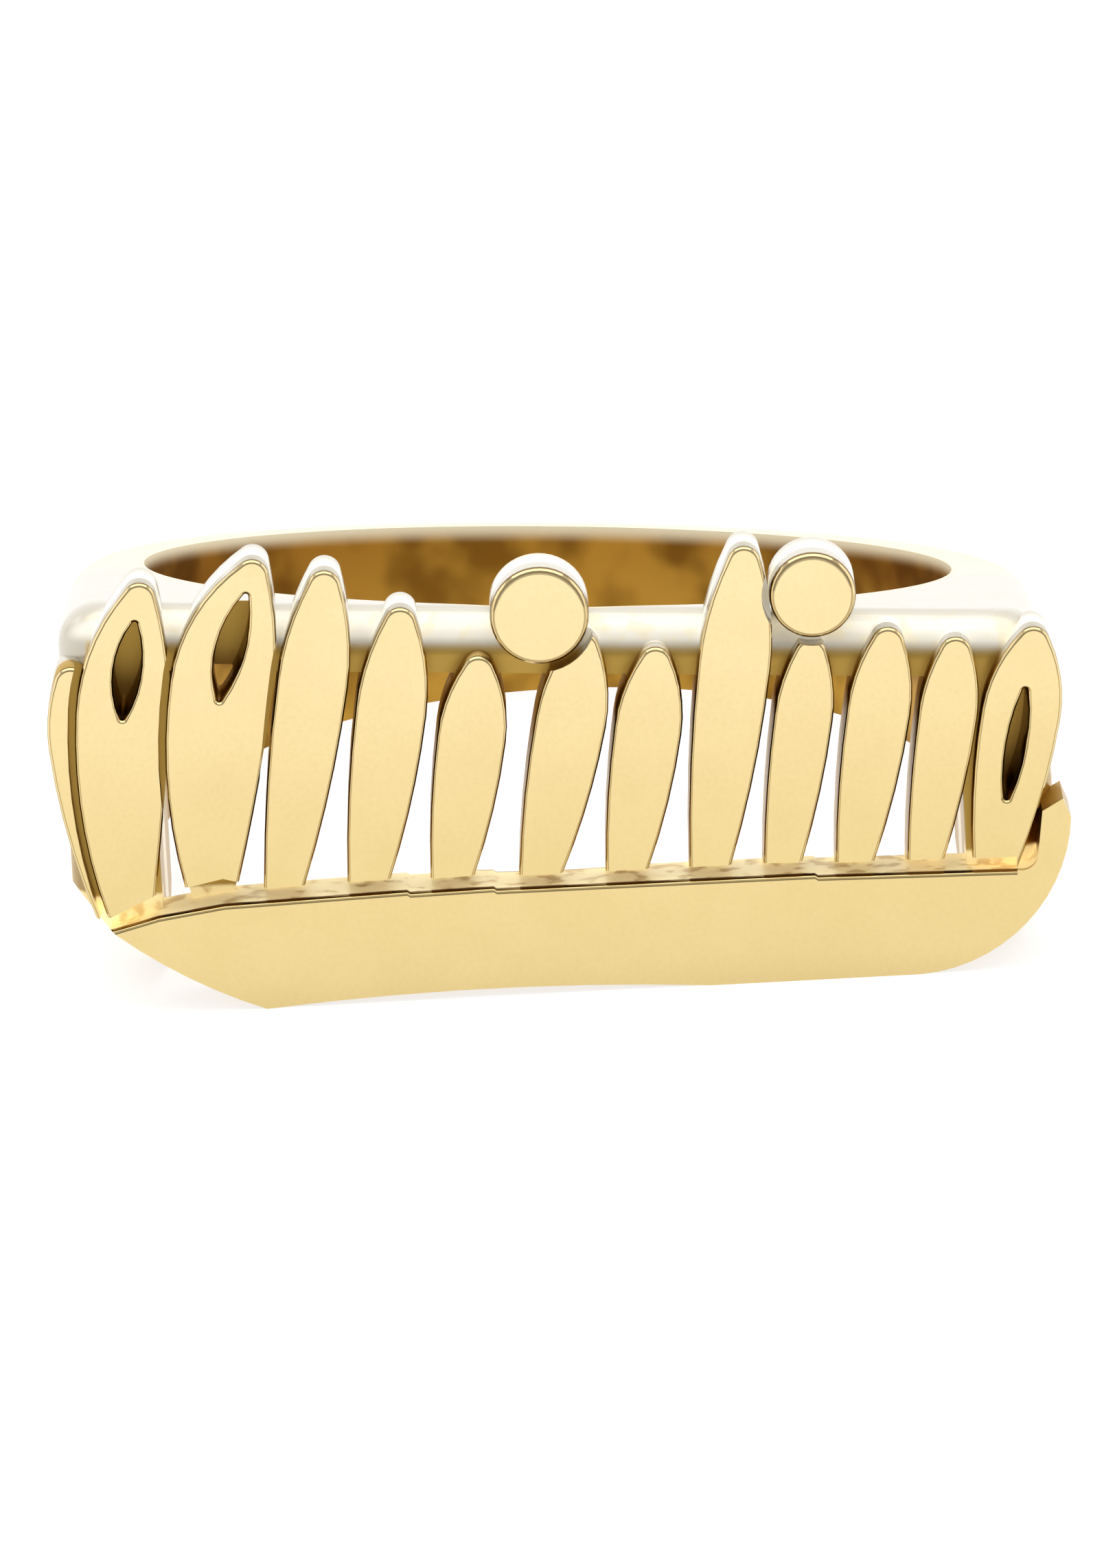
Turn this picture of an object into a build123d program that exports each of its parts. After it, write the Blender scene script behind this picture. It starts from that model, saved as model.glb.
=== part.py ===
"""Pierced leaf ring, cast in yellow gold as one piece.

A wide flat plate faces the front. It is cut through into a row of slanting leaves that
stand on a smooth bar with a swept lower edge, and two round berries sit between the
leaf tips. The plate closes the front of a band that tapers towards the back and is
hollowed out behind the leaves.

The ring is drawn with the finger axis along Z and the plate towards -Y, and is then
laid on its side, so that the foot of the plate and the lower rim of the band rest on
the surface z = 0 together. All lengths are in millimetres.
"""

import os
from collections import namedtuple
from math import atan2, degrees

from build123d import *

# Finger hole and band
bore_diameter = 17.3
band_wall = 1.65
band_height_front = 8.13
band_height_back = 3.3
rim_drop = 1.32
rim_round = 0.9
shoulder_round = 1.3
shoulder_wall = 1.9
roof_thickness = 1.35
undercut_slope = 0.24

# Front plate
plate_width = 21.2
plate_thickness = 1.65
front_wall = 1.47
crest_height = 9.75
bar_height = 2.3
recess_depth = 0.7
slit_extra_depth = 0.4

# Leaves and berries
leaf_width = 1.5
leaf_tip_round = 0.34
berry_radius = 0.98
leaf_edge_bevel = 0.07
berry_edge_round = 0.14
groove_width = 0.16
slit_end_round = 0.06

# Saw cut between the bar and the feet of the leaves
ledge_gap = 0.28
ledge_depth = 1.15
ledge_bevel = 0.11
foot_overlap = 0.25

# Values that follow from the sizes above
bore_radius = bore_diameter / 2
band_radius = bore_radius + band_wall
plate_distance = bore_radius + front_wall
depth_front_to_back = plate_distance + band_radius
rim_slope = (band_height_front - band_height_back) / 2 / depth_front_to_back
lean = degrees(atan2(rim_slope, 1))
side_slope = rim_drop / plate_width
axis_height = band_height_front - 2 * plate_distance * rim_slope
plate_back = plate_distance - plate_thickness
plate_foot = -plate_distance * rim_slope
reach = 2 * (plate_width + crest_height)

FACE = Plane(origin=(0, -plate_distance, plate_foot), x_dir=(1, 0, 0), z_dir=(0, -1, 0))
BASE = Plane(origin=(0, 0, 0), x_dir=(1, 0, 0), z_dir=(0, -rim_slope, 1))
RIM = Plane(origin=(0, 0, axis_height), x_dir=(1, 0, -side_slope), z_dir=(side_slope, rim_slope, 1))

# One row for each leaf, from the back of the overlaps to the front. foot and tip are
# shares of the plate's width from its left end, rise is a share of the height from the
# bar to the crest, and width, foot_width, bend and slit_width are shares of leaf_width.
# belly, slit_start and slit_end are shares of the leaf's own length.
Leaf = namedtuple("Leaf", "foot tip rise width foot_width belly bend slit_start slit_end slit_width")
LEAVES = (
    Leaf(0.054, 0.030, 0.760, 0.76, 0.38, 0.64, -0.14, 0.00, 0.00, 0.00),
    Leaf(0.384, 0.430, 0.701, 0.96, 0.44, 0.64, 0.04, 0.00, 0.00, 0.00),
    Leaf(0.556, 0.604, 0.701, 0.94, 0.44, 0.64, 0.04, 0.00, 0.00, 0.00),
    Leaf(0.710, 0.757, 0.715, 0.82, 0.42, 0.64, 0.03, 0.00, 0.00, 0.00),
    Leaf(0.851, 0.899, 0.696, 0.82, 0.42, 0.64, 0.03, 0.00, 0.00, 0.00),
    Leaf(0.072, 0.108, 0.965, 1.30, 0.62, 0.58, -0.24, 0.56, 0.86, 0.38),
    Leaf(0.152, 0.222, 1.000, 1.44, 0.52, 0.62, -0.30, 0.57, 0.89, 0.40),
    Leaf(0.219, 0.286, 0.990, 0.99, 0.44, 0.64, 0.03, 0.00, 0.00, 0.00),
    Leaf(0.302, 0.357, 0.867, 0.99, 0.44, 0.62, 0.04, 0.00, 0.00, 0.00),
    Leaf(0.470, 0.535, 0.755, 0.99, 0.44, 0.64, 0.04, 0.00, 0.00, 0.00),
    Leaf(0.639, 0.696, 1.000, 1.01, 0.46, 0.62, 0.04, 0.00, 0.00, 0.00),
    Leaf(0.781, 0.833, 0.730, 0.89, 0.42, 0.64, 0.03, 0.00, 0.00, 0.00),
    Leaf(0.921, 0.976, 0.691, 1.10, 0.56, 0.63, 0.00, 0.26, 0.76, 0.26),
)

# One row for each berry. place is a share of the plate's width, rise a share of the
# band's height in front, which the berry is joined to, and size a share of berry_radius.
Berry = namedtuple("Berry", "place rise size")
BERRIES = (
    Berry(0.489, 0.992, 1.05),
    Berry(0.757, 1.008, 0.92),
)

# Strokes of the saw along the bar's upper edge, with a small step where two of them meet.
# place is a share of the plate's width, height a share of bar_height and gap, the width
# of the cut above the bar, a share of ledge_gap.
Stroke = namedtuple("Stroke", "place height gap")
LEDGE = (
    Stroke(0.052, 0.800, 1.00),
    Stroke(0.100, 0.910, 1.70),
    Stroke(0.165, 0.990, 2.00),
    Stroke(0.208, 1.000, 1.00),
    Stroke(0.345, 1.030, 1.00),
    Stroke(0.348, 1.010, 1.00),
    Stroke(0.430, 1.020, 1.00),
    Stroke(0.433, 1.000, 1.00),
    Stroke(0.746, 0.985, 1.00),
    Stroke(0.749, 0.965, 1.00),
    Stroke(0.945, 0.925, 1.00),
)

# Other points of the bar's outline, in the same shares.
BarPoint = namedtuple("BarPoint", "place height")
LEDGE_END = BarPoint(0.961, 0.960)
CURL_FOOT = BarPoint(0.966, 1.060)
CURL_BACK = BarPoint(0.972, 1.460)
CURL_TIP = BarPoint(0.993, 1.565)
CURL_FRONT = BarPoint(1.000, 1.390)
TOE_BELLY = BarPoint(0.955, 0.457)
TOE = BarPoint(0.830, 0.000)
SOLE = BarPoint(0.640, 0.000)
ARCH = BarPoint(0.420, 0.080)
HEEL = BarPoint(0.201, 0.000)
HEEL_BELLY = BarPoint(0.120, 0.360)
SHOULDER_LEFT = BarPoint(0.000, 1.480)


def across(share):
    """Return the x of a place given as a share of the plate's width."""
    return plate_width * (share - 0.5)


def on_face(share, height):
    """Return a point of the plate's drawing, x from its middle and height from its foot."""
    return Vector(across(share), height)


def tip_height(rise):
    """Return the height of a tip given as a share from the bar to the crest."""
    return bar_height + rise * (crest_height - bar_height)


def leaf_axis(leaf, margin=0.0):
    """Return a function that turns a share along a leaf and an offset across it into a point."""
    foot = on_face(leaf.foot, bar_height - foot_overlap)
    along = on_face(leaf.tip, tip_height(leaf.rise)) - foot
    along += along.normalized() * margin
    side = Vector(along.Y, -along.X).normalized()
    return lambda share, offset: foot + along * share + side * offset


def leaf_outline(leaf, margin=0.0):
    """Draw a leaf, widest at its belly, from a narrow foot to a rounded tip."""
    point = leaf_axis(leaf, margin)
    half = leaf.width * leaf_width / 2 + margin
    half_foot = leaf.foot_width * leaf_width / 2 + margin
    bend = leaf.bend * leaf_width
    up = point(1, 0) - point(0, 0)
    edges = [Line(point(0, -half_foot), point(0, half_foot))]
    for side in (-1, 1):
        belly = point(leaf.belly, bend + side * half)
        edges += [
            TangentArc(belly, point(1, 0), tangent=up),
            TangentArc(belly, point(0, side * half_foot), tangent=-up),
        ]
    outline = make_face(edges)
    tip = outline.vertices().sort_by_distance(point(1, 0))[0]
    return fillet(tip, leaf_tip_round + margin)


def slit_outline(leaf):
    """Draw a leaf's slit: a slim lens with rounded ends on the leaf's middle line."""
    point = leaf_axis(leaf)
    peak = leaf.belly * (1 - leaf.belly)

    def middle(share, offset):
        return point(share, offset + leaf.bend * leaf_width * share * (1 - share) / peak)

    half = leaf.slit_width * leaf_width / 2
    centre = (leaf.slit_start + leaf.slit_end) / 2
    start, end = middle(leaf.slit_start, 0), middle(leaf.slit_end, 0)
    left = ThreePointArc(start, middle(centre, -half), end)
    right = ThreePointArc(end, middle(centre, half), start)
    lens = make_face([left, right])
    return fillet(lens.vertices(), slit_end_round)


def carve(outline, depth):
    """Return the solid that sinks an outline of the plate's drawing to a depth."""
    return extrude(FACE * outline, amount=-depth)


def leaf_solid(leaf):
    """Make one leaf with its slit and a bevelled front edge."""
    solid = carve(leaf_outline(leaf), plate_thickness)
    if leaf.slit_width:
        solid -= carve(slit_outline(leaf), plate_thickness)
    front = solid.faces().sort_by(Axis.Y)[0]
    return chamfer(front.edges(), leaf_edge_bevel)


def berry_disc(berry, margin=0.0):
    """Draw a berry's outline."""
    centre = on_face(berry.place, berry.rise * band_height_front)
    return Pos(centre.X, centre.Y) * Circle(berry.size * berry_radius + margin)


def berry_solid(berry):
    """Make one berry, a flat round stud with a rounded front edge."""
    solid = carve(berry_disc(berry), plate_thickness)
    front = solid.faces().sort_by(Axis.Y)[0]
    return fillet(front.edges(), berry_edge_round)


def bar_point(point, raised=0.0):
    """Return a point of the bar's outline on the plate's drawing."""
    return on_face(point.place, point.height * bar_height + raised)


def bar_outline():
    """Draw the bar: stepped upper edge, curled right end and swept lower corners."""
    start, finish = bar_point(LEDGE[0]), bar_point(LEDGE[-1])
    edges = Polyline(*[bar_point(point) for point in LEDGE]).edges()
    edges += [
        ThreePointArc(finish, bar_point(LEDGE_END), bar_point(CURL_FOOT)),
        Line(bar_point(CURL_FOOT), bar_point(CURL_BACK)),
        Line(bar_point(CURL_BACK), bar_point(CURL_TIP)),
        Line(bar_point(CURL_TIP), bar_point(CURL_FRONT)),
        ThreePointArc(bar_point(CURL_FRONT), bar_point(TOE_BELLY), bar_point(TOE)),
        Line(bar_point(TOE), bar_point(SOLE)),
        ThreePointArc(bar_point(SOLE), bar_point(ARCH), bar_point(HEEL)),
        ThreePointArc(bar_point(HEEL), bar_point(HEEL_BELLY), start),
    ]
    return make_face(edges)


def bar_bevel(first, last):
    """Return the sliver that bevels one stroke of the bar's upper front edge."""
    start, finish = bar_point(first), bar_point(last)
    stroke = Vector(finish.X - start.X, 0, finish.Y - start.Y)
    corner = Vector(start.X, -plate_distance, plate_foot + start.Y)
    wedge = make_face(Polyline(
        corner + Vector(0, -ledge_bevel, ledge_bevel),
        corner + Vector(0, 2 * ledge_bevel, ledge_bevel),
        corner + Vector(0, ledge_bevel, 0),
        corner + Vector(0, 0, -ledge_bevel),
        corner + Vector(0, -ledge_bevel, -ledge_bevel),
        close=True,
    ))
    return extrude(wedge, amount=stroke.length, dir=stroke.normalized())


def bar_solid():
    """Make the bar with its bevelled upper edge."""
    solid = carve(bar_outline(), plate_thickness)
    for first, last in zip(LEDGE, LEDGE[1:]):
        solid -= bar_bevel(first, last)
    return solid


def ledge_cut():
    """Return the saw cut that frees the fronts of the leaves' feet from the bar."""
    upper = [bar_point(stroke, stroke.gap * ledge_gap) for stroke in LEDGE]
    left, right = upper[0] - Vector(plate_width, 0), upper[-1]
    below = Vector(0, -reach)
    return carve(make_face(Polyline(left, *upper, right + below, left + below, close=True)), ledge_depth)


def foliage():
    """Join leaves and berries, each one set off by a groove from those behind it."""
    joined = leaf_solid(LEAVES[0])
    for leaf in LEAVES[1:]:
        joined -= carve(leaf_outline(leaf, groove_width), recess_depth)
        if leaf.slit_width:
            joined -= carve(slit_outline(leaf), plate_thickness)
        joined += leaf_solid(leaf)
    for berry in BERRIES:
        joined -= carve(berry_disc(berry, groove_width), recess_depth)
        joined += berry_solid(berry)
    return joined - ledge_cut()


def undercut():
    """Return the waste under the band's lower corners, which sinks towards the back."""
    start = bar_point(LEDGE[0])
    shoulder = bar_point(SHOULDER_LEFT)
    outside = shoulder + (shoulder - start).normalized() * plate_width
    corner = Vector(outside.X, -reach)
    left = make_face([
        ThreePointArc(start, bar_point(HEEL_BELLY), bar_point(HEEL)),
        *Polyline(bar_point(HEEL), Vector(bar_point(HEEL).X, -reach), corner, outside, start).edges(),
    ])
    front = bar_point(CURL_FRONT)
    right = make_face([
        ThreePointArc(front, bar_point(TOE_BELLY), bar_point(TOE)),
        *Polyline(
            bar_point(TOE),
            Vector(bar_point(TOE).X, -reach),
            Vector(reach, -reach),
            Vector(reach, front.Y + reach),
            front,
        ).edges(),
    ])
    run = shoulder.Y / (undercut_slope + rim_slope)
    sink = Vector(0, run, -run * undercut_slope)
    return [extrude(FACE * waste, amount=sink.length, dir=sink.normalized()) for waste in (left, right)]


def band_solid():
    """Make the tapered band: round at the back, square in front, hollow behind the leaves."""
    front = plate_distance - recess_depth
    back = Circle(band_radius) - Pos(0, -reach / 2) * Rectangle(2 * reach, reach)
    outline = back + Pos(0, -front / 2) * Rectangle(2 * band_radius, front)
    outline = fillet(outline.vertices().sort_by(Axis.Y)[:2], shoulder_round)
    solid = extrude(outline, amount=reach, both=True)
    solid = split(solid, bisect_by=RIM, keep=Keep.BOTTOM)
    solid = split(solid, bisect_by=BASE, keep=Keep.TOP)
    faces = solid.faces().sort_by(Axis.Z)
    solid = fillet(faces[0].edges() + faces[-1].edges(), rim_round)
    pocket = Pos(0, -reach / 2) * Box(2 * (band_radius - shoulder_wall), reach, 2 * reach)
    solid -= split(pocket, bisect_by=RIM.offset(-roof_thickness), keep=Keep.BOTTOM)
    for waste in undercut():
        solid -= waste
    for leaf in LEAVES:
        if leaf.slit_width:
            solid -= carve(slit_outline(leaf), plate_thickness + slit_extra_depth)
    return solid


def ring_solid():
    """Join band, bar and leaves, file the foot flat, bore the finger hole and lay it down."""
    ring = band_solid() + bar_solid() + foliage()
    ring = split(ring, bisect_by=BASE, keep=Keep.TOP)
    ring -= Cylinder(bore_radius, 2 * reach)
    ring = Rot(-lean, 0, 0) * ring
    box = ring.bounding_box()
    return Pos(-box.center().X, -box.center().Y, -box.min.Z) * ring


def main():
    """Write the ring to its STEP file and print its main measures."""
    os.makedirs("parts", exist_ok=True)
    ring = ring_solid()
    export_step(ring, "parts/leaf_ring.step")
    box = ring.bounding_box()
    print("solids", len(ring.solids()), "volume", round(ring.volume, 2), "mm3")
    print("size", [round(side, 2) for side in box.size], "lean", round(lean, 2), "degrees")


main()
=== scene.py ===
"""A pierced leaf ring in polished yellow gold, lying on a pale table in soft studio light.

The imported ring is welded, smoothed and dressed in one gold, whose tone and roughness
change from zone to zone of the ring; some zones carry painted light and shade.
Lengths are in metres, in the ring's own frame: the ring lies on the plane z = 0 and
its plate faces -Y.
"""

import logging
from dataclasses import dataclass, field
from enum import Enum
from math import cos, pi, radians, sin
from typing import Any, Optional, Union

import bpy
from mathutils import Matrix, Vector


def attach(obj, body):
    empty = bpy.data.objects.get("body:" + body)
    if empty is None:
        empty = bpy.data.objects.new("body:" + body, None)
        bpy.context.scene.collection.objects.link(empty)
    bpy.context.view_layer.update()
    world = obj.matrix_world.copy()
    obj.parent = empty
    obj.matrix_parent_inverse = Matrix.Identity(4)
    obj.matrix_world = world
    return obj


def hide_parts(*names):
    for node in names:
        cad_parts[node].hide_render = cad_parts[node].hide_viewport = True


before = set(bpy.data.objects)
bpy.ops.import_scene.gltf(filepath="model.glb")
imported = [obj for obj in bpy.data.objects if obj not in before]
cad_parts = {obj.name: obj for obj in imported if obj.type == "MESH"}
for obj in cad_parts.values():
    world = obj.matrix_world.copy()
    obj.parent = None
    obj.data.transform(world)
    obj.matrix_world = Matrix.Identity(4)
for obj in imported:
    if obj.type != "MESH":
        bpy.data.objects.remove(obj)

LOG = logging.getLogger("leaf_ring")
MM = 0.001
Key = Union[int, str]
Number = Union[float, "Sock"]
Triple = tuple[float, float, float]
Colour = Triple
Tone = Union[Colour, "Sock"]
BLACK: Colour = (0.0, 0.0, 0.0)
WHITE: Colour = (1.0, 1.0, 1.0)


class Axis3(Enum):
    """A part of a vector, by its place in it."""

    X = 0
    Y = 1
    Z = 2


@dataclass(frozen=True)
class Span:
    """A stretch of values over which a smooth step climbs from 0 to 1."""

    start: float
    end: float

    def past(self, origin: float) -> "Span":
        """Return the same stretch, counted from another origin."""
        return Span(origin + self.start, origin + self.end)


def mm(start: float, end: float) -> Span:
    """Return a stretch that is given in millimetres."""
    return Span(start * MM, end * MM)


class Sock:
    """A shader value that takes part in Python sums by adding Math nodes."""

    def __init__(self, shop: "Shader", link: bpy.types.NodeSocket) -> None:
        """Wrap an output of a node.

        Args:
            shop: The shader that the node belongs to.
            link: The node's output.
        """
        self.shop = shop
        self.link = link

    def _sum(self, operation: str, first: Number, second: Number) -> "Sock":
        """Add one Math node.

        Args:
            operation: The node's operation.
            first: Its first value.
            second: Its second value.

        Returns:
            The node's result.
        """
        return self.shop.node("ShaderNodeMath", {"operation": operation}, {0: first, 1: second})

    def __add__(self, other: Number) -> "Sock":
        """Return the sum of two values."""
        return self._sum("ADD", self, other)

    def __sub__(self, other: Number) -> "Sock":
        """Return this value less another."""
        return self._sum("SUBTRACT", self, other)

    def __rsub__(self, other: Number) -> "Sock":
        """Return another value less this one."""
        return self._sum("SUBTRACT", other, self)

    def __mul__(self, other: Number) -> "Sock":
        """Return the product of two values."""
        return self._sum("MULTIPLY", self, other)

    def __pow__(self, power: float) -> "Sock":
        """Return this value raised to a power."""
        return self._sum("POWER", self, power)

    def __or__(self, other: Number) -> "Sock":
        """Return the larger of two values, so that either of two masks holds."""
        return self._sum("MAXIMUM", self, other)

    def __abs__(self) -> "Sock":
        """Return this value without its sign."""
        return self._sum("ABSOLUTE", self, 0.0)

    __radd__ = __add__
    __rmul__ = __mul__

    def step(self, span: Span) -> "Sock":
        """Return a smooth step from 0 to 1.

        Args:
            span: Where the step leaves 0 and where it reaches 1.

        Returns:
            The stepped value.
        """
        limits = {"From Min": span.start, "From Max": span.end, "To Min": 0.0, "To Max": 1.0}
        settings = {"interpolation_type": "SMOOTHSTEP"}
        return self.shop.node("ShaderNodeMapRange", settings, {"Value": self, **limits})

    def between(self, rise: Span, fall: Span) -> "Sock":
        """Return a mask that climbs over one stretch and drops over a later one.

        Args:
            rise: Where the mask climbs from 0 to 1.
            fall: Where it drops back to 0.

        Returns:
            The mask.
        """
        return self.step(rise) * (1.0 - self.step(fall))


class Shader:
    """Builds one node material."""

    def __init__(self, name: str) -> None:
        """Start a material with a Principled shader.

        Args:
            name: The material's name.
        """
        self.material = bpy.data.materials.new(name)
        self.material.use_nodes = True
        self.tree = self.material.node_tree
        self.surface = next(n for n in self.tree.nodes if n.type == "BSDF_PRINCIPLED")

    def node(
        self, kind: str, settings: dict[str, Any], values: dict[Key, Any], result: Key = 0
    ) -> Sock:
        """Add a node.

        Args:
            kind: The node's type.
            settings: Properties of the node, which are set first.
            values: Numbers, colours or links for its inputs, by name or place.
            result: The name or place of the output that is wanted.

        Returns:
            That output.
        """
        made = self.tree.nodes.new(kind)
        for key, value in settings.items():
            setattr(made, key, value)
        for key, value in values.items():
            self.feed(made.inputs[key], value)
        return Sock(self, made.outputs[result])

    def feed(self, socket: bpy.types.NodeSocket, value: Any) -> None:
        """Link or set one input.

        Args:
            socket: The input.
            value: A link, a number, a vector or a colour.
        """
        if isinstance(value, Sock):
            self.tree.links.new(value.link, socket)
        elif isinstance(value, tuple) and socket.type == "RGBA":
            socket.default_value = (*value, 1.0)
        else:
            socket.default_value = value

    def place(self) -> Sock:
        """Return the place of a point on the piece, in metres."""
        return self.node("ShaderNodeTexCoord", {}, {}, "Object")

    def part(self, vector: Sock, axis: Axis3) -> Sock:
        """Return one part of a vector.

        Args:
            vector: The vector.
            axis: The part that is wanted.

        Returns:
            The part as a value.
        """
        return self.node("ShaderNodeSeparateXYZ", {}, {0: vector}, axis.value)

    def noise(self, size: float, detail: float) -> Sock:
        """Return a noise pattern.

        Args:
            size: The width of one blot, in metres.
            detail: The number of finer layers.

        Returns:
            The pattern, from 0 to 1.
        """
        scale = (1.0 / size, 1.0 / size, 1.0 / size)
        spread = self.node("ShaderNodeMapping", {}, {"Vector": self.place(), "Scale": scale})
        values = {"Vector": spread, "Scale": 1.0, "Detail": detail}
        return self.node("ShaderNodeTexNoise", {}, values)

    def mix(self, share: Number, first: Tone, second: Tone) -> Sock:
        """Blend two colours.

        Args:
            share: The share of the second colour.
            first: The first colour.
            second: The second colour.

        Returns:
            The blended colour.
        """
        return self.node("ShaderNodeMix", {"data_type": "RGBA"}, {0: share, 6: first, 7: second}, 2)

    def bump(self, strength: float, distance: float, height: Sock) -> Sock:
        """Return a normal that follows a small relief.

        Args:
            strength: The share of the relief that shows.
            distance: How deep the relief is where its height is 1.
            height: The relief.

        Returns:
            The normal.
        """
        values = {"Strength": strength, "Distance": distance, "Height": height}
        return self.node("ShaderNodeBump", {}, values, "Normal")

    def wear(self, **values: Any) -> bpy.types.Material:
        """Set the surface's inputs.

        Args:
            values: Numbers, colours or links, by the input's name with _ for a space.

        Returns:
            The finished material.
        """
        for key, value in values.items():
            self.feed(self.surface.inputs[key.replace("_", " ")], value)
        return self.material


@dataclass(frozen=True)
class RingPoint:
    """Where a point lies on the ring's drawing.

    side counts from the middle to the right and along from the finger axis to the back.
    depth is the distance behind the plate's face, height the height above its foot, rise
    the height above the plane of the band's upper rim and radius the distance from the
    finger axis.
    """

    side: Sock
    along: Sock
    depth: Sock
    height: Sock
    rise: Sock
    radius: Sock


@dataclass(frozen=True)
class Slit:
    """The slit of a leaf on the plate's drawing: its middle, half its size and its slant.

    edge tells where its mask fades out, and is 1 on the slit's own outline.
    """

    side: float
    height: float
    half_width: float
    half_length: float
    slant: float
    edge: Span = Span(1.0, 1.2)

    def mask(self, point: RingPoint) -> Sock:
        """Return a mask that holds in and close to the slit.

        Args:
            point: The point's place on the drawing.

        Returns:
            The mask.
        """
        up = point.height - self.height
        across = (point.side - self.side - up * self.slant) * (1.0 / self.half_width)
        lengthwise = up * (1.0 / self.half_length)
        return 1.0 - (across * across + lengthwise * lengthwise).step(self.edge)


@dataclass(frozen=True)
class RingDrawing:
    """How the ring was drawn before it was laid down, and how it lies.

    In the drawing the finger axis runs up through the origin and the plate faces
    forward. lean is the angle by which the plate tips back when the ring lies down, and
    foot_x and foot_y tell where the drawing's origin comes to lie. axis_height is the
    height of the band's upper rim at the finger axis, and the rim falls to the right by
    side_slope and to the back by rim_slope.
    """

    lean: float = radians(6.745)
    foot_x: float = -0.0190 * MM
    foot_y: float = -0.2405 * MM
    plate_distance: float = 10.12 * MM
    plate_thickness: float = 1.65 * MM
    plate_foot: float = -1.197 * MM
    bore_radius: float = 8.65 * MM
    bar_height: float = 2.30 * MM
    axis_height: float = 5.736 * MM
    side_slope: float = 0.0623
    rim_slope: float = 0.1183
    slits: tuple[Slit, ...] = (
        Slit(-8.83 * MM, 7.36 * MM, 0.50 * MM, 1.35 * MM, 0.20),
        Slit(-6.66 * MM, 7.74 * MM, 0.50 * MM, 1.45 * MM, 0.28),
        Slit(9.52 * MM, 4.80 * MM, 0.45 * MM, 1.60 * MM, 0.21),
    )

    def facing(self) -> Vector:
        """Return the direction in which the plate of the lying ring faces."""
        return Vector((0.0, -cos(self.lean), sin(self.lean)))

    def locate(self, shop: Shader) -> RingPoint:
        """Return a point's place on the drawing.

        Args:
            shop: The shader that reads it.

        Returns:
            The point's place.
        """
        place = shop.place()
        side = shop.part(place, Axis3.X) - self.foot_x
        back = shop.part(place, Axis3.Y) - self.foot_y
        level = shop.part(place, Axis3.Z)
        along = back * cos(self.lean) - level * sin(self.lean)
        up = back * sin(self.lean) + level * cos(self.lean)
        return RingPoint(
            side=side,
            along=along,
            depth=along + self.plate_distance,
            height=up - self.plate_foot,
            rise=up + side * self.side_slope + along * self.rim_slope - self.axis_height,
            radius=(side * side + along * along) ** 0.5,
        )


@dataclass(frozen=True)
class Zones:
    """Masks of the ring's zones, each 1 in its zone and 0 away from it.

    outside is the buffed band with the tops of the leaves, and pale its brightest part,
    painted nearly white as a painted highlight. slot is the walls between the
    leaves and shaded_hollow all that lies within the finger hole, both painted darker as
    painted shade. line is the painted shade where the face's edge turns, cut the
    floor of the saw cut, dip the dips between the leaf tips and rim_highlight the hole's
    upper edge, and filed_and_lit holds in all three, where the file left the metal matt
    and light is painted in. raised grows from the bar to the leaf tips and carries the
    face's painted reflection.
    """

    outside: Sock
    pale: Sock
    slot: Sock
    shaded_hollow: Sock
    line: Sock
    cut: Sock
    dip: Sock
    rim_highlight: Sock
    filed_and_lit: Sock
    raised: Sock


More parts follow.
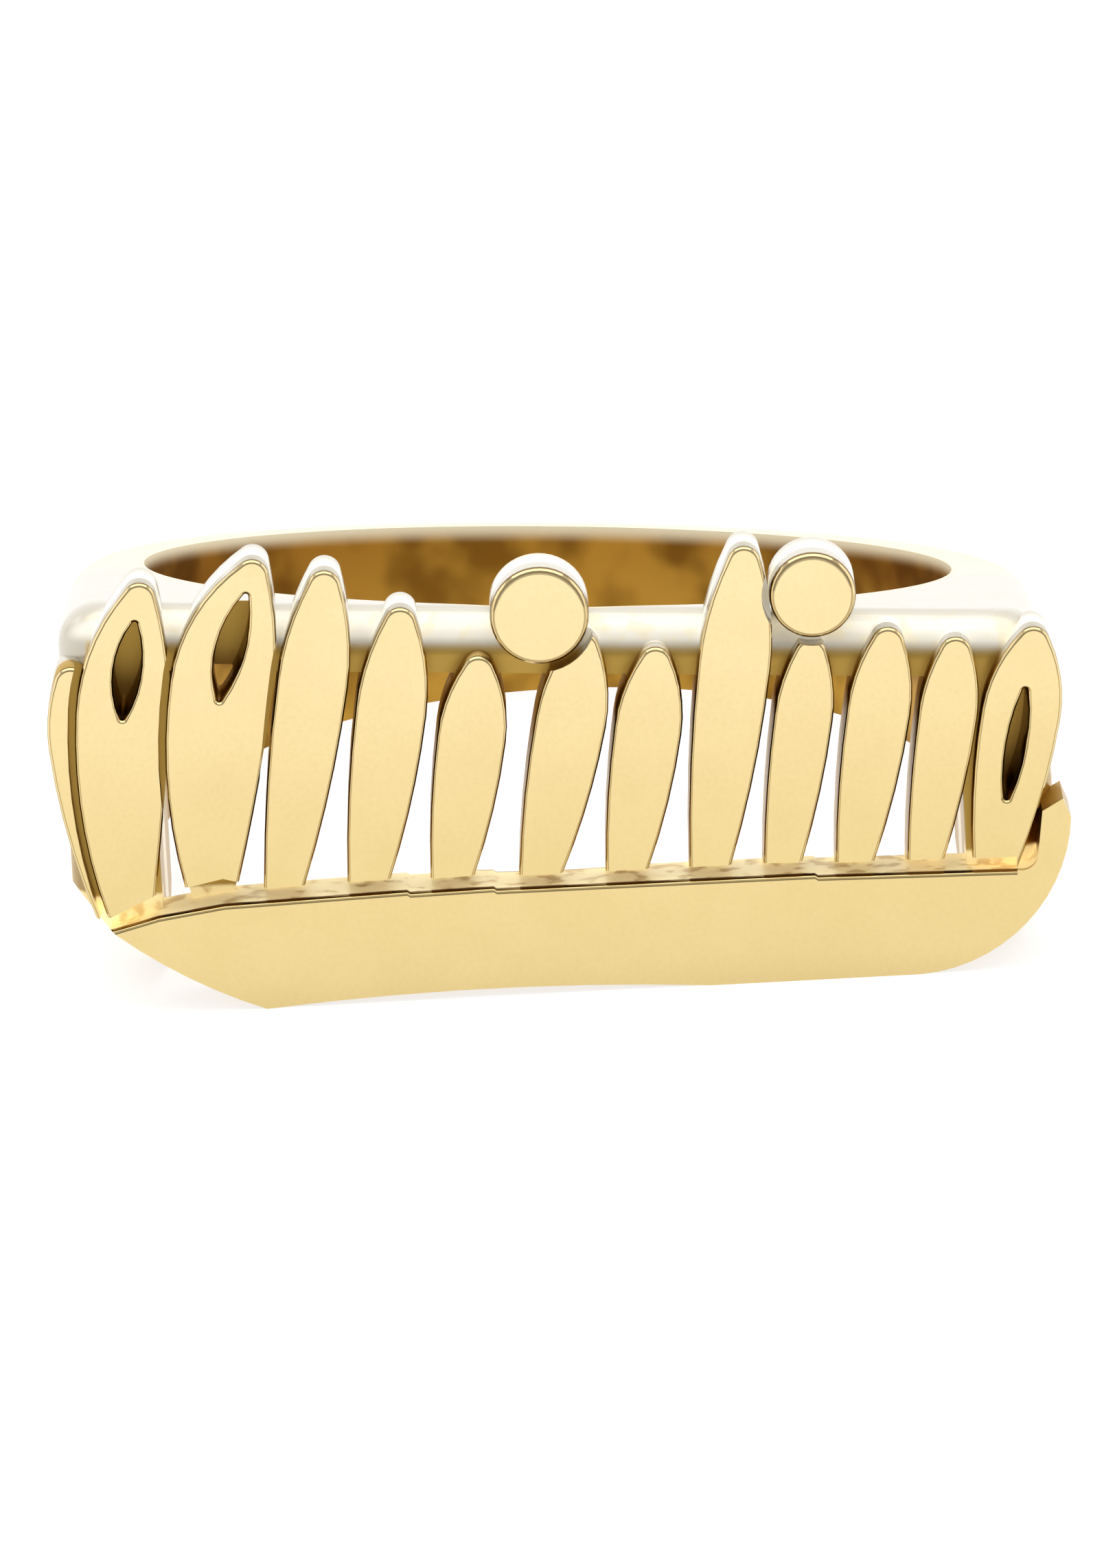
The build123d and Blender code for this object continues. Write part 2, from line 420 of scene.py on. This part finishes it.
@dataclass(frozen=True)
class ZoneLimits:
    """Where the ring's zones begin and end.

    Each stretch is one of the length that its name ends with, and of depth where it ends
    with none. bore_edge counts on from the bore's radius, cut_bottom, cut_top and
    raised_height from the bar's height, and cut_back from the plate's thickness.
    """

    face_depth: Span = mm(0.08, 0.22)
    bore_edge: Span = mm(0.03, 0.08)
    top_rise: Span = mm(-0.95, -0.65)
    wall_depth: Span = mm(0.80, 0.95)
    wall_height: Span = mm(3.7, 3.9)
    wall_foot_depth: Span = mm(1.8, 2.0)
    flank_side: Span = mm(9.45, 9.75)
    back_radius: Span = mm(9.50, 9.80)
    back_along: Span = mm(-7.0, -6.5)
    slit_depth: Span = mm(2.1, 2.2)
    # Where the painted highlight on the band lies.
    highlight_rise: Span = mm(-4.5, -2.0)
    highlight_along: Span = mm(-3.0, 4.5)
    # Where the painted shade round the face's edge lies.
    edge_shade_start: Span = mm(0.06, 0.08)
    edge_shade_end: Span = mm(0.13, 0.20)
    rim_shade_start: Span = mm(0.003, 0.009)
    rim_shade_end: Span = mm(0.020, 0.032)
    rim_shade_share: float = 0.6
    # Where the painted light on the saw cut's floor lies.
    cut_bottom: Span = mm(-0.644, -0.552)
    cut_top: Span = mm(0.08, 0.18)
    cut_back: Span = mm(0.0, 0.04)
    # Where the painted highlight in the dips lies.
    dip_start: Span = mm(0.60, 0.66)
    dip_end: Span = mm(1.0, 1.5)
    dip_rise: Span = mm(-0.85, -0.55)
    # Where the painted highlight on the finger hole's upper edge lies.
    rim_highlight_rise: Span = mm(-0.40, 0.0)
    # Where the face's painted reflection runs from its shaded to its lit tone.
    raised_height: Span = mm(0.0, 6.7)

    def sides(self, point: RingPoint) -> Sock:
        """Return a mask of the band's outer wall, from its flanks to its back.

        Args:
            point: The point's place on the drawing.

        Returns:
            The mask.
        """
        above_foot = point.height.step(self.wall_height) | point.depth.step(self.wall_foot_depth)
        wall = point.depth.step(self.wall_depth) * above_foot
        flank = abs(point.side).step(self.flank_side) * wall
        back = point.radius.step(self.back_radius) * point.along.step(self.back_along)
        return flank | back

    def slits(self, point: RingPoint, drawing: RingDrawing) -> Sock:
        """Return a mask of the slits in the leaves.

        Args:
            point: The point's place on the drawing.
            drawing: How the ring was drawn.

        Returns:
            The mask.
        """
        mask, *others = (slit.mask(point) for slit in drawing.slits)
        for other in others:
            mask = mask | other
        return mask * (1.0 - point.depth.step(self.slit_depth))

    def line(self, point: RingPoint) -> Sock:
        """Return a mask of the dark painted shade round the face's edge and of a faint one on its
        rim.

        Args:
            point: The point's place on the drawing.

        Returns:
            The mask.
        """
        rim = point.depth.between(self.rim_shade_start, self.rim_shade_end)
        return point.depth.between(self.edge_shade_start, self.edge_shade_end) | rim * self.rim_shade_share

    def cut(self, point: RingPoint, drawing: RingDrawing) -> Sock:
        """Return a mask of the layer that the saw cut lies in.

        Args:
            point: The point's place on the drawing.
            drawing: How the ring was drawn.

        Returns:
            The mask.
        """
        bottom = self.cut_bottom.past(drawing.bar_height)
        top = self.cut_top.past(drawing.bar_height)
        back = self.cut_back.past(drawing.plate_thickness)
        return point.height.between(bottom, top) * (1.0 - point.depth.step(back))

    def mark(self, point: RingPoint, drawing: RingDrawing) -> Zones:
        """Return the masks of all zones.

        Args:
            point: The point's place on the drawing.
            drawing: How the ring was drawn.

        Returns:
            The masks.
        """
        outer = point.radius.step(self.bore_edge.past(drawing.bore_radius))
        body = point.depth.step(self.face_depth) * outer
        whole = 1.0 - self.slits(point, drawing)
        top = point.rise.step(self.top_rise)
        outside = (top | self.sides(point)) * body * whole
        slot = body * (1.0 - outside)
        shaded_hollow = 1.0 - outer
        front = 1.0 - point.along.step(self.highlight_along)
        cut = slot * self.cut(point, drawing)
        dip = point.depth.between(self.dip_start, self.dip_end) * point.rise.step(self.dip_rise)
        dip = body * dip * whole
        rim_highlight = shaded_hollow * point.rise.step(self.rim_highlight_rise)
        return Zones(
            outside=outside,
            pale=outside * (top | point.rise.step(self.highlight_rise)) * front,
            slot=slot,
            shaded_hollow=shaded_hollow,
            line=self.line(point),
            cut=cut,
            dip=dip,
            rim_highlight=rim_highlight,
            filed_and_lit=cut | dip | rim_highlight,
            raised=point.height.step(self.raised_height.past(drawing.bar_height)),
        )


@dataclass(frozen=True)
class Pattern:
    """A noise pattern, with an edge where it is cut into blots and bare ground."""

    size: float
    detail: float
    edge: Optional[Span] = None

    def spread(self, shop: Shader) -> Sock:
        """Return the pattern.

        Args:
            shop: The shader that it goes into.

        Returns:
            The pattern, from 0 to 1.
        """
        noise = shop.noise(self.size, self.detail)
        return noise.step(self.edge) if self.edge else noise


@dataclass(frozen=True)
class Marks:
    """The patterns that break up the finish, each from 0 to 1."""

    mottle: Sock
    blots: Sock
    scratches: Sock
    grain: Sock
    patches: Sock


@dataclass(frozen=True)
class GoldFinish:
    """Polished yellow gold, with a tone and a roughness for each zone of the ring.

    The face is a clear yellow, with a painted reflection that makes it deeper on the bar
    than on the leaves. The band is buffed, and in front a painted highlight makes it
    nearly white. The walls of the slots are painted deep in tone as painted shade, and the
    finger hole is painted in shade and blotched. The file left the metal matt in the saw
    cut, in the dips and on the hole's upper edge; there the colour is painted bright as
    painted light, and the saw cut and the dips give off a little light, a painted glow in
    place of the light that the real metal gathers from many reflections.

    tarnish is the share of the slots' shaded tone in the face's grain and blots.
    matt_and_painted_light and highlight_matt are how far those worked zones and the
    painted highlight stop mirroring like metal. dip_highlight_loss and gleam_loss are how
    far the patches darken the dips and dim the saw cut. swell and scoring are the heights
    of the waves in the polish and of the file's scratches.
    """

    # Painted reflection: the face is painted in a shaded tone low on the bar and a lit tone at the
    # leaf tips.
    face_shaded_low: Colour = (0.725, 0.566, 0.263)
    face_lit_high: Colour = (0.855, 0.685, 0.372)
    band: Colour = (0.84, 0.69, 0.39)
    # Painted highlight: the band's front is painted nearly white.
    pale: Colour = (0.57, 0.53, 0.44)
    # Painted shade: the walls between the leaves are painted deep brown.
    slot: Colour = (0.46, 0.29, 0.065)
    # Painted shade: the inside of the finger hole is painted deep brown, darker in random blots.
    shaded_hollow: Colour = (0.55, 0.31, 0.05)
    hollow_deeper_shade: Colour = (0.26, 0.13, 0.018)
    # Painted light: the saw cut's floor is painted bright against the shade under the leaves; the
    # darker tone follows random patches.
    filed_and_lit: Colour = (0.96, 0.80, 0.40)
    filed_dark: Colour = (0.84, 0.63, 0.25)
    # Painted highlight: the finger hole's upper edge is painted pale gold.
    rim_highlight: Colour = (0.95, 0.87, 0.64)
    # Painted highlight: the dips between the leaf tips are painted nearly white.
    dip_highlight: Colour = (0.95, 0.91, 0.80)
    # Painted shade: a dark brown painted where the face's edge turns.
    line: Colour = (0.17, 0.095, 0.02)
    cut_gleam: Colour = (0.35, 0.305, 0.175)
    dip_gleam: Colour = (0.12, 0.112, 0.092)
    tarnish: float = 0.05
    dip_highlight_loss: float = 0.35
    gleam_loss: float = 0.6

    polish: float = 0.09
    buff: float = 0.20
    satin: float = 0.30
    rough: float = 0.42
    unevenness: float = 0.04
    matt_and_painted_light: float = 0.80
    highlight_matt: float = 0.45

    swell: float = 0.4
    scoring: float = 6.0
    relief_strength: float = 0.06
    relief_depth: float = 0.02 * MM

    mottle: Pattern = Pattern(1.1 * MM, 3.0)
    blots: Pattern = Pattern(1.6 * MM, 2.0, Span(0.36, 0.66))
    scratches: Pattern = Pattern(0.22 * MM, 3.0)
    grain: Pattern = Pattern(0.10 * MM, 2.0, Span(0.35, 0.75))
    patches: Pattern = Pattern(0.45 * MM, 2.0, Span(0.50, 0.66))
    limits: ZoneLimits = ZoneLimits()

    def marks(self, shop: Shader) -> Marks:
        """Return the patterns that break up the finish.

        Args:
            shop: The shader that they go into.

        Returns:
            The patterns.
        """
        return Marks(
            mottle=self.mottle.spread(shop),
            blots=self.blots.spread(shop),
            scratches=self.scratches.spread(shop),
            grain=self.grain.spread(shop),
            patches=self.patches.spread(shop),
        )

    def colour(self, shop: Shader, zones: Zones, marks: Marks) -> Sock:
        """Return the gold's colour with its painted light and shade, laid on zone by zone.

        Args:
            shop: The shader that it goes into.
            zones: The masks of the zones.
            marks: The patterns that break up the finish.

        Returns:
            The colour.
        """
        # Painted reflection: lighter towards the leaf tips, deeper on the bar.
        face = shop.mix(zones.raised, self.face_shaded_low, self.face_lit_high)
        tarnish = marks.grain * self.tarnish + marks.blots * self.tarnish
        colour = shop.mix(tarnish, face, self.slot)
        layers = (
            (zones.outside, self.band),
            # Painted highlight, nearly white, on the band's front.
            (zones.pale, self.pale),
            # Painted shade on the walls between the leaves.
            (zones.slot, self.slot),
            # Painted shade where the face's edge turns.
            (zones.line, self.line),
            # Painted shade inside the finger hole.
            (zones.shaded_hollow, shop.mix(marks.blots, self.shaded_hollow, self.hollow_deeper_shade)),
            # Painted light on the saw cut's floor.
            (zones.cut, shop.mix(marks.patches, self.filed_and_lit, self.filed_dark)),
            # Painted highlight in the dips.
            (zones.dip, shop.mix(marks.patches * self.dip_highlight_loss, self.dip_highlight, self.filed_and_lit)),
            # Painted highlight on the finger hole's upper edge.
            (zones.rim_highlight, self.rim_highlight),
        )
        for mask, tone in layers:
            colour = shop.mix(mask, colour, tone)
        return colour

    def roughness(self, zones: Zones, marks: Marks) -> Sock:
        """Return the gold's roughness.

        Args:
            zones: The masks of the zones.
            marks: The patterns that break up the finish.

        Returns:
            The roughness.
        """
        return (
            zones.outside * (self.buff - self.polish)
            + zones.slot * (self.satin - self.polish)
            + zones.shaded_hollow * (self.satin - self.polish)
            + zones.filed_and_lit * (self.rough - self.satin)
            + self.polish
            + marks.mottle * self.unevenness
        )

    def relief(self, shop: Shader, zones: Zones, marks: Marks) -> Sock:
        """Return a normal that follows the waves in the polish and the file's scratches.

        Args:
            shop: The shader that it goes into.
            zones: The masks of the zones.
            marks: The patterns that break up the finish.

        Returns:
            The normal.
        """
        height = marks.mottle * self.swell + marks.scratches * zones.filed_and_lit * self.scoring
        return shop.bump(self.relief_strength, self.relief_depth, height)

    def gleam(self, shop: Shader, zones: Zones, marks: Marks) -> Sock:
        """Return the light that the saw cut and the dips give off.

        Args:
            shop: The shader that it goes into.
            zones: The masks of the zones.
            marks: The patterns that break up the finish.

        Returns:
            The light's colour.
        """
        bare = 1.0 - marks.patches * self.gleam_loss
        cut = shop.mix(zones.cut * bare, BLACK, self.cut_gleam)
        return shop.mix(zones.dip, cut, self.dip_gleam)

    def build(self, drawing: RingDrawing) -> bpy.types.Material:
        """Build the material.

        Args:
            drawing: How the ring was drawn.

        Returns:
            The material.
        """
        shop = Shader("polished_gold")
        zones = self.limits.mark(drawing.locate(shop), drawing)
        marks = self.marks(shop)
        return shop.wear(
            Base_Color=self.colour(shop, zones, marks),
            # Painted light: the saw cut, the dips, the hole's upper edge and the painted highlight
            # on the band lose part of their metal, so their bright painted colour shows.
            Metallic=(1.0 - zones.filed_and_lit * self.matt_and_painted_light) * (1.0 - zones.pale * self.highlight_matt),
            Roughness=self.roughness(zones, marks),
            Normal=self.relief(shop, zones, marks),
            # Painted glow in the saw cut and the dips.
            Emission_Color=self.gleam(shop, zones, marks),
            Emission_Strength=1.0,
        )


@dataclass
class RingCasting:
    """The ring itself: one casting of band, bar, leaves and berries."""

    node: str = "leaf_ring"
    weld: float = 0.0005 * MM
    flat_angle: float = radians(0.5)
    soft_angle: float = radians(50)
    area_weight: int = 100
    finish: GoldFinish = field(default_factory=GoldFinish)
    drawing: RingDrawing = field(default_factory=RingDrawing)

    def copy(self) -> bpy.types.Object:
        """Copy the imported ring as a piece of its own.

        Returns:
            The copy.
        """
        bpy.ops.object.select_all(action="DESELECT")
        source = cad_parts[self.node]
        source.select_set(True)
        bpy.context.view_layer.objects.active = source
        bpy.ops.object.duplicate()
        piece = bpy.context.view_layer.objects.active
        piece.name = "gold_casting"
        piece.parent = None
        for key in list(piece.keys()):
            del piece[key]
        return piece

    def join_faces(self) -> None:
        """Weld the active piece's loose triangles and join those of a flat face."""
        bpy.ops.mesh.customdata_custom_splitnormals_clear()
        bpy.ops.object.mode_set(mode="EDIT")
        bpy.ops.mesh.select_all(action="SELECT")
        bpy.ops.mesh.remove_doubles(threshold=self.weld)
        bpy.ops.mesh.dissolve_limited(angle_limit=self.flat_angle, delimit={"NORMAL"})
        bpy.ops.object.mode_set(mode="OBJECT")

    def rank_faces(self, piece: bpy.types.Object) -> None:
        """Give the plate's flat faces precedence over curved ones when shading is evened.

        Args:
            piece: The casting.
        """
        bpy.ops.object.mode_set(mode="EDIT")
        bpy.ops.mesh.select_mode(type="FACE")
        bpy.ops.mesh.select_all(action="SELECT")
        bpy.ops.mesh.mod_weighted_strength(set=True, face_strength="WEAK")
        bpy.ops.mesh.select_all(action="DESELECT")
        bpy.ops.object.mode_set(mode="OBJECT")
        facing = self.drawing.facing()
        for polygon in piece.data.polygons:
            polygon.select = polygon.normal.angle(facing) < self.flat_angle
        bpy.ops.object.mode_set(mode="EDIT")
        bpy.ops.mesh.mod_weighted_strength(set=True, face_strength="STRONG")
        bpy.ops.object.mode_set(mode="OBJECT")

    def smooth(self, piece: bpy.types.Object) -> None:
        """Smooth the curved faces and cut all faces into even triangles.

        Args:
            piece: The casting.
        """
        bpy.ops.object.shade_smooth_by_angle(angle=self.soft_angle)
        shading = piece.modifiers.new("even_shading", "WEIGHTED_NORMAL")
        shading.keep_sharp = True
        shading.use_face_influence = True
        shading.weight = self.area_weight
        bpy.ops.object.modifier_apply(modifier=shading.name)
        triangles = piece.modifiers.new("even_triangles", "TRIANGULATE")
        triangles.ngon_method = "BEAUTY"
        triangles.keep_custom_normals = True
        bpy.ops.object.modifier_apply(modifier=triangles.name)

    def build(self) -> list[bpy.types.Object]:
        """Make and dress the casting.

        Returns:
            The pieces.
        """
        piece = self.copy()
        self.join_faces()
        self.rank_faces(piece)
        self.smooth(piece)
        piece.data.materials.clear()
        piece.data.materials.append(self.finish.build(self.drawing))
        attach(piece, "root")
        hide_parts(self.node)
        return [piece]


@dataclass(frozen=True)
class Softbox:
    """A flat lamp that is as bright all over as a lit cloth."""

    name: str
    place: Triple
    aim: Triple
    width: float
    height: float
    brightness: float

    def light(self) -> bpy.types.Object:
        """Add the lamp.

        Returns:
            The lamp's object.
        """
        lamp = bpy.data.lights.new(self.name, "AREA")
        lamp.shape = "RECTANGLE"
        lamp.size, lamp.size_y = self.width, self.height
        lamp.energy = self.brightness * pi * self.width * self.height
        made = bpy.data.objects.new(self.name, lamp)
        bpy.context.scene.collection.objects.link(made)
        made.location = self.place
        towards = Vector(self.aim) - Vector(self.place)
        made.rotation_euler = towards.to_track_quat("-Z", "Y").to_euler()
        return made


@dataclass
class Studio:
    """A pale, faintly glowing table among soft lamps, in a white room of even light."""

    table_reach: float = 3.0
    table_tone: Colour = (0.42, 0.42, 0.42)
    table_roughness: float = 0.9
    table_glow: float = 0.75
    room_tone: Colour = WHITE
    room_brightness: float = 0.58
    lamps: tuple[Softbox, ...] = (
        Softbox("lamp_above", (0.0, 0.08, 0.50), (0.0, 0.0, 0.0), 0.80, 0.60, 1.18),
        Softbox("lamp_behind", (0.0, 0.90, 0.38), (0.0, 0.0, 0.10), 2.0, 0.80, 0.86),
        Softbox("lamp_left", (-0.80, 0.10, 0.30), (0.0, 0.0, 0.10), 1.2, 0.60, 0.7),
        Softbox("lamp_right", (0.80, 0.10, 0.30), (0.0, 0.0, 0.10), 1.2, 0.60, 0.7),
    )

    def table(self) -> bpy.types.Object:
        """Lay the table.

        Returns:
            The table's object.
        """
        bpy.ops.object.select_all(action="DESELECT")
        bpy.ops.mesh.primitive_plane_add(size=2 * self.table_reach, location=(0, 0, 0))
        made = bpy.context.view_layer.objects.active
        made.name = "table"
        cloth = Shader("pale_table").wear(
            Base_Color=self.table_tone,
            Roughness=self.table_roughness,
            Emission_Color=WHITE,
            Emission_Strength=self.table_glow,
        )
        made.data.materials.append(cloth)
        return made

    def build(self) -> None:
        """Light the scene and lay the table."""
        scene = bpy.context.scene
        scene.view_settings.view_transform = "Standard"
        world = bpy.data.worlds.new("dim_room")
        world.use_nodes = True
        room = world.node_tree.nodes["Background"]
        room.inputs["Color"].default_value = (*self.room_tone, 1.0)
        room.inputs["Strength"].default_value = self.room_brightness
        scene.world = world
        for lamp in self.lamps:
            lamp.light()
        self.table()


@dataclass(frozen=True)
class PhotoCamera:
    """The camera, turned and shifted as the picture was taken."""

    target: Triple = (-0.1190 * MM, -0.2405 * MM, 0.0)
    distance: float = 300 * MM
    elevation: float = radians(20.03)
    roll: float = radians(3.04)
    slide_right: float = 0.063 * MM
    slide_up: float = 0.876 * MM
    sensor: float = 36.0
    lens: float = 449.42
    nearest: float = 0.01
    farthest: float = 20.0

    def build(self) -> bpy.types.Object:
        """Place the camera.

        Returns:
            The camera's object.
        """
        back = Vector((0.0, -cos(self.elevation), sin(self.elevation)))
        right = Vector((1.0, 0.0, 0.0))
        up = back.cross(right)
        place = Vector(self.target) + back * self.distance
        place = place + right * self.slide_right + up * self.slide_up
        turned_right = right * cos(self.roll) - up * sin(self.roll)
        turned_up = right * sin(self.roll) + up * cos(self.roll)
        turn = Matrix((turned_right, turned_up, back)).transposed()
        view = bpy.data.cameras.new("photo_camera")
        view.sensor_fit = "HORIZONTAL"
        view.sensor_width = self.sensor
        view.lens = self.lens
        view.clip_start, view.clip_end = self.nearest, self.farthest
        made = bpy.data.objects.new("photo_camera", view)
        bpy.context.scene.collection.objects.link(made)
        made.matrix_world = Matrix.Translation(place) @ turn.to_4x4()
        bpy.context.scene.camera = made
        return made


def main() -> None:
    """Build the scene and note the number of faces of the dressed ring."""
    logging.basicConfig(level=logging.INFO)
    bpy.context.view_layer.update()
    for piece in RingCasting().build():
        LOG.info("%s: %d faces", piece.name, len(piece.data.polygons))
    Studio().build()
    PhotoCamera().build()


if __name__ == "__main__":
    main()
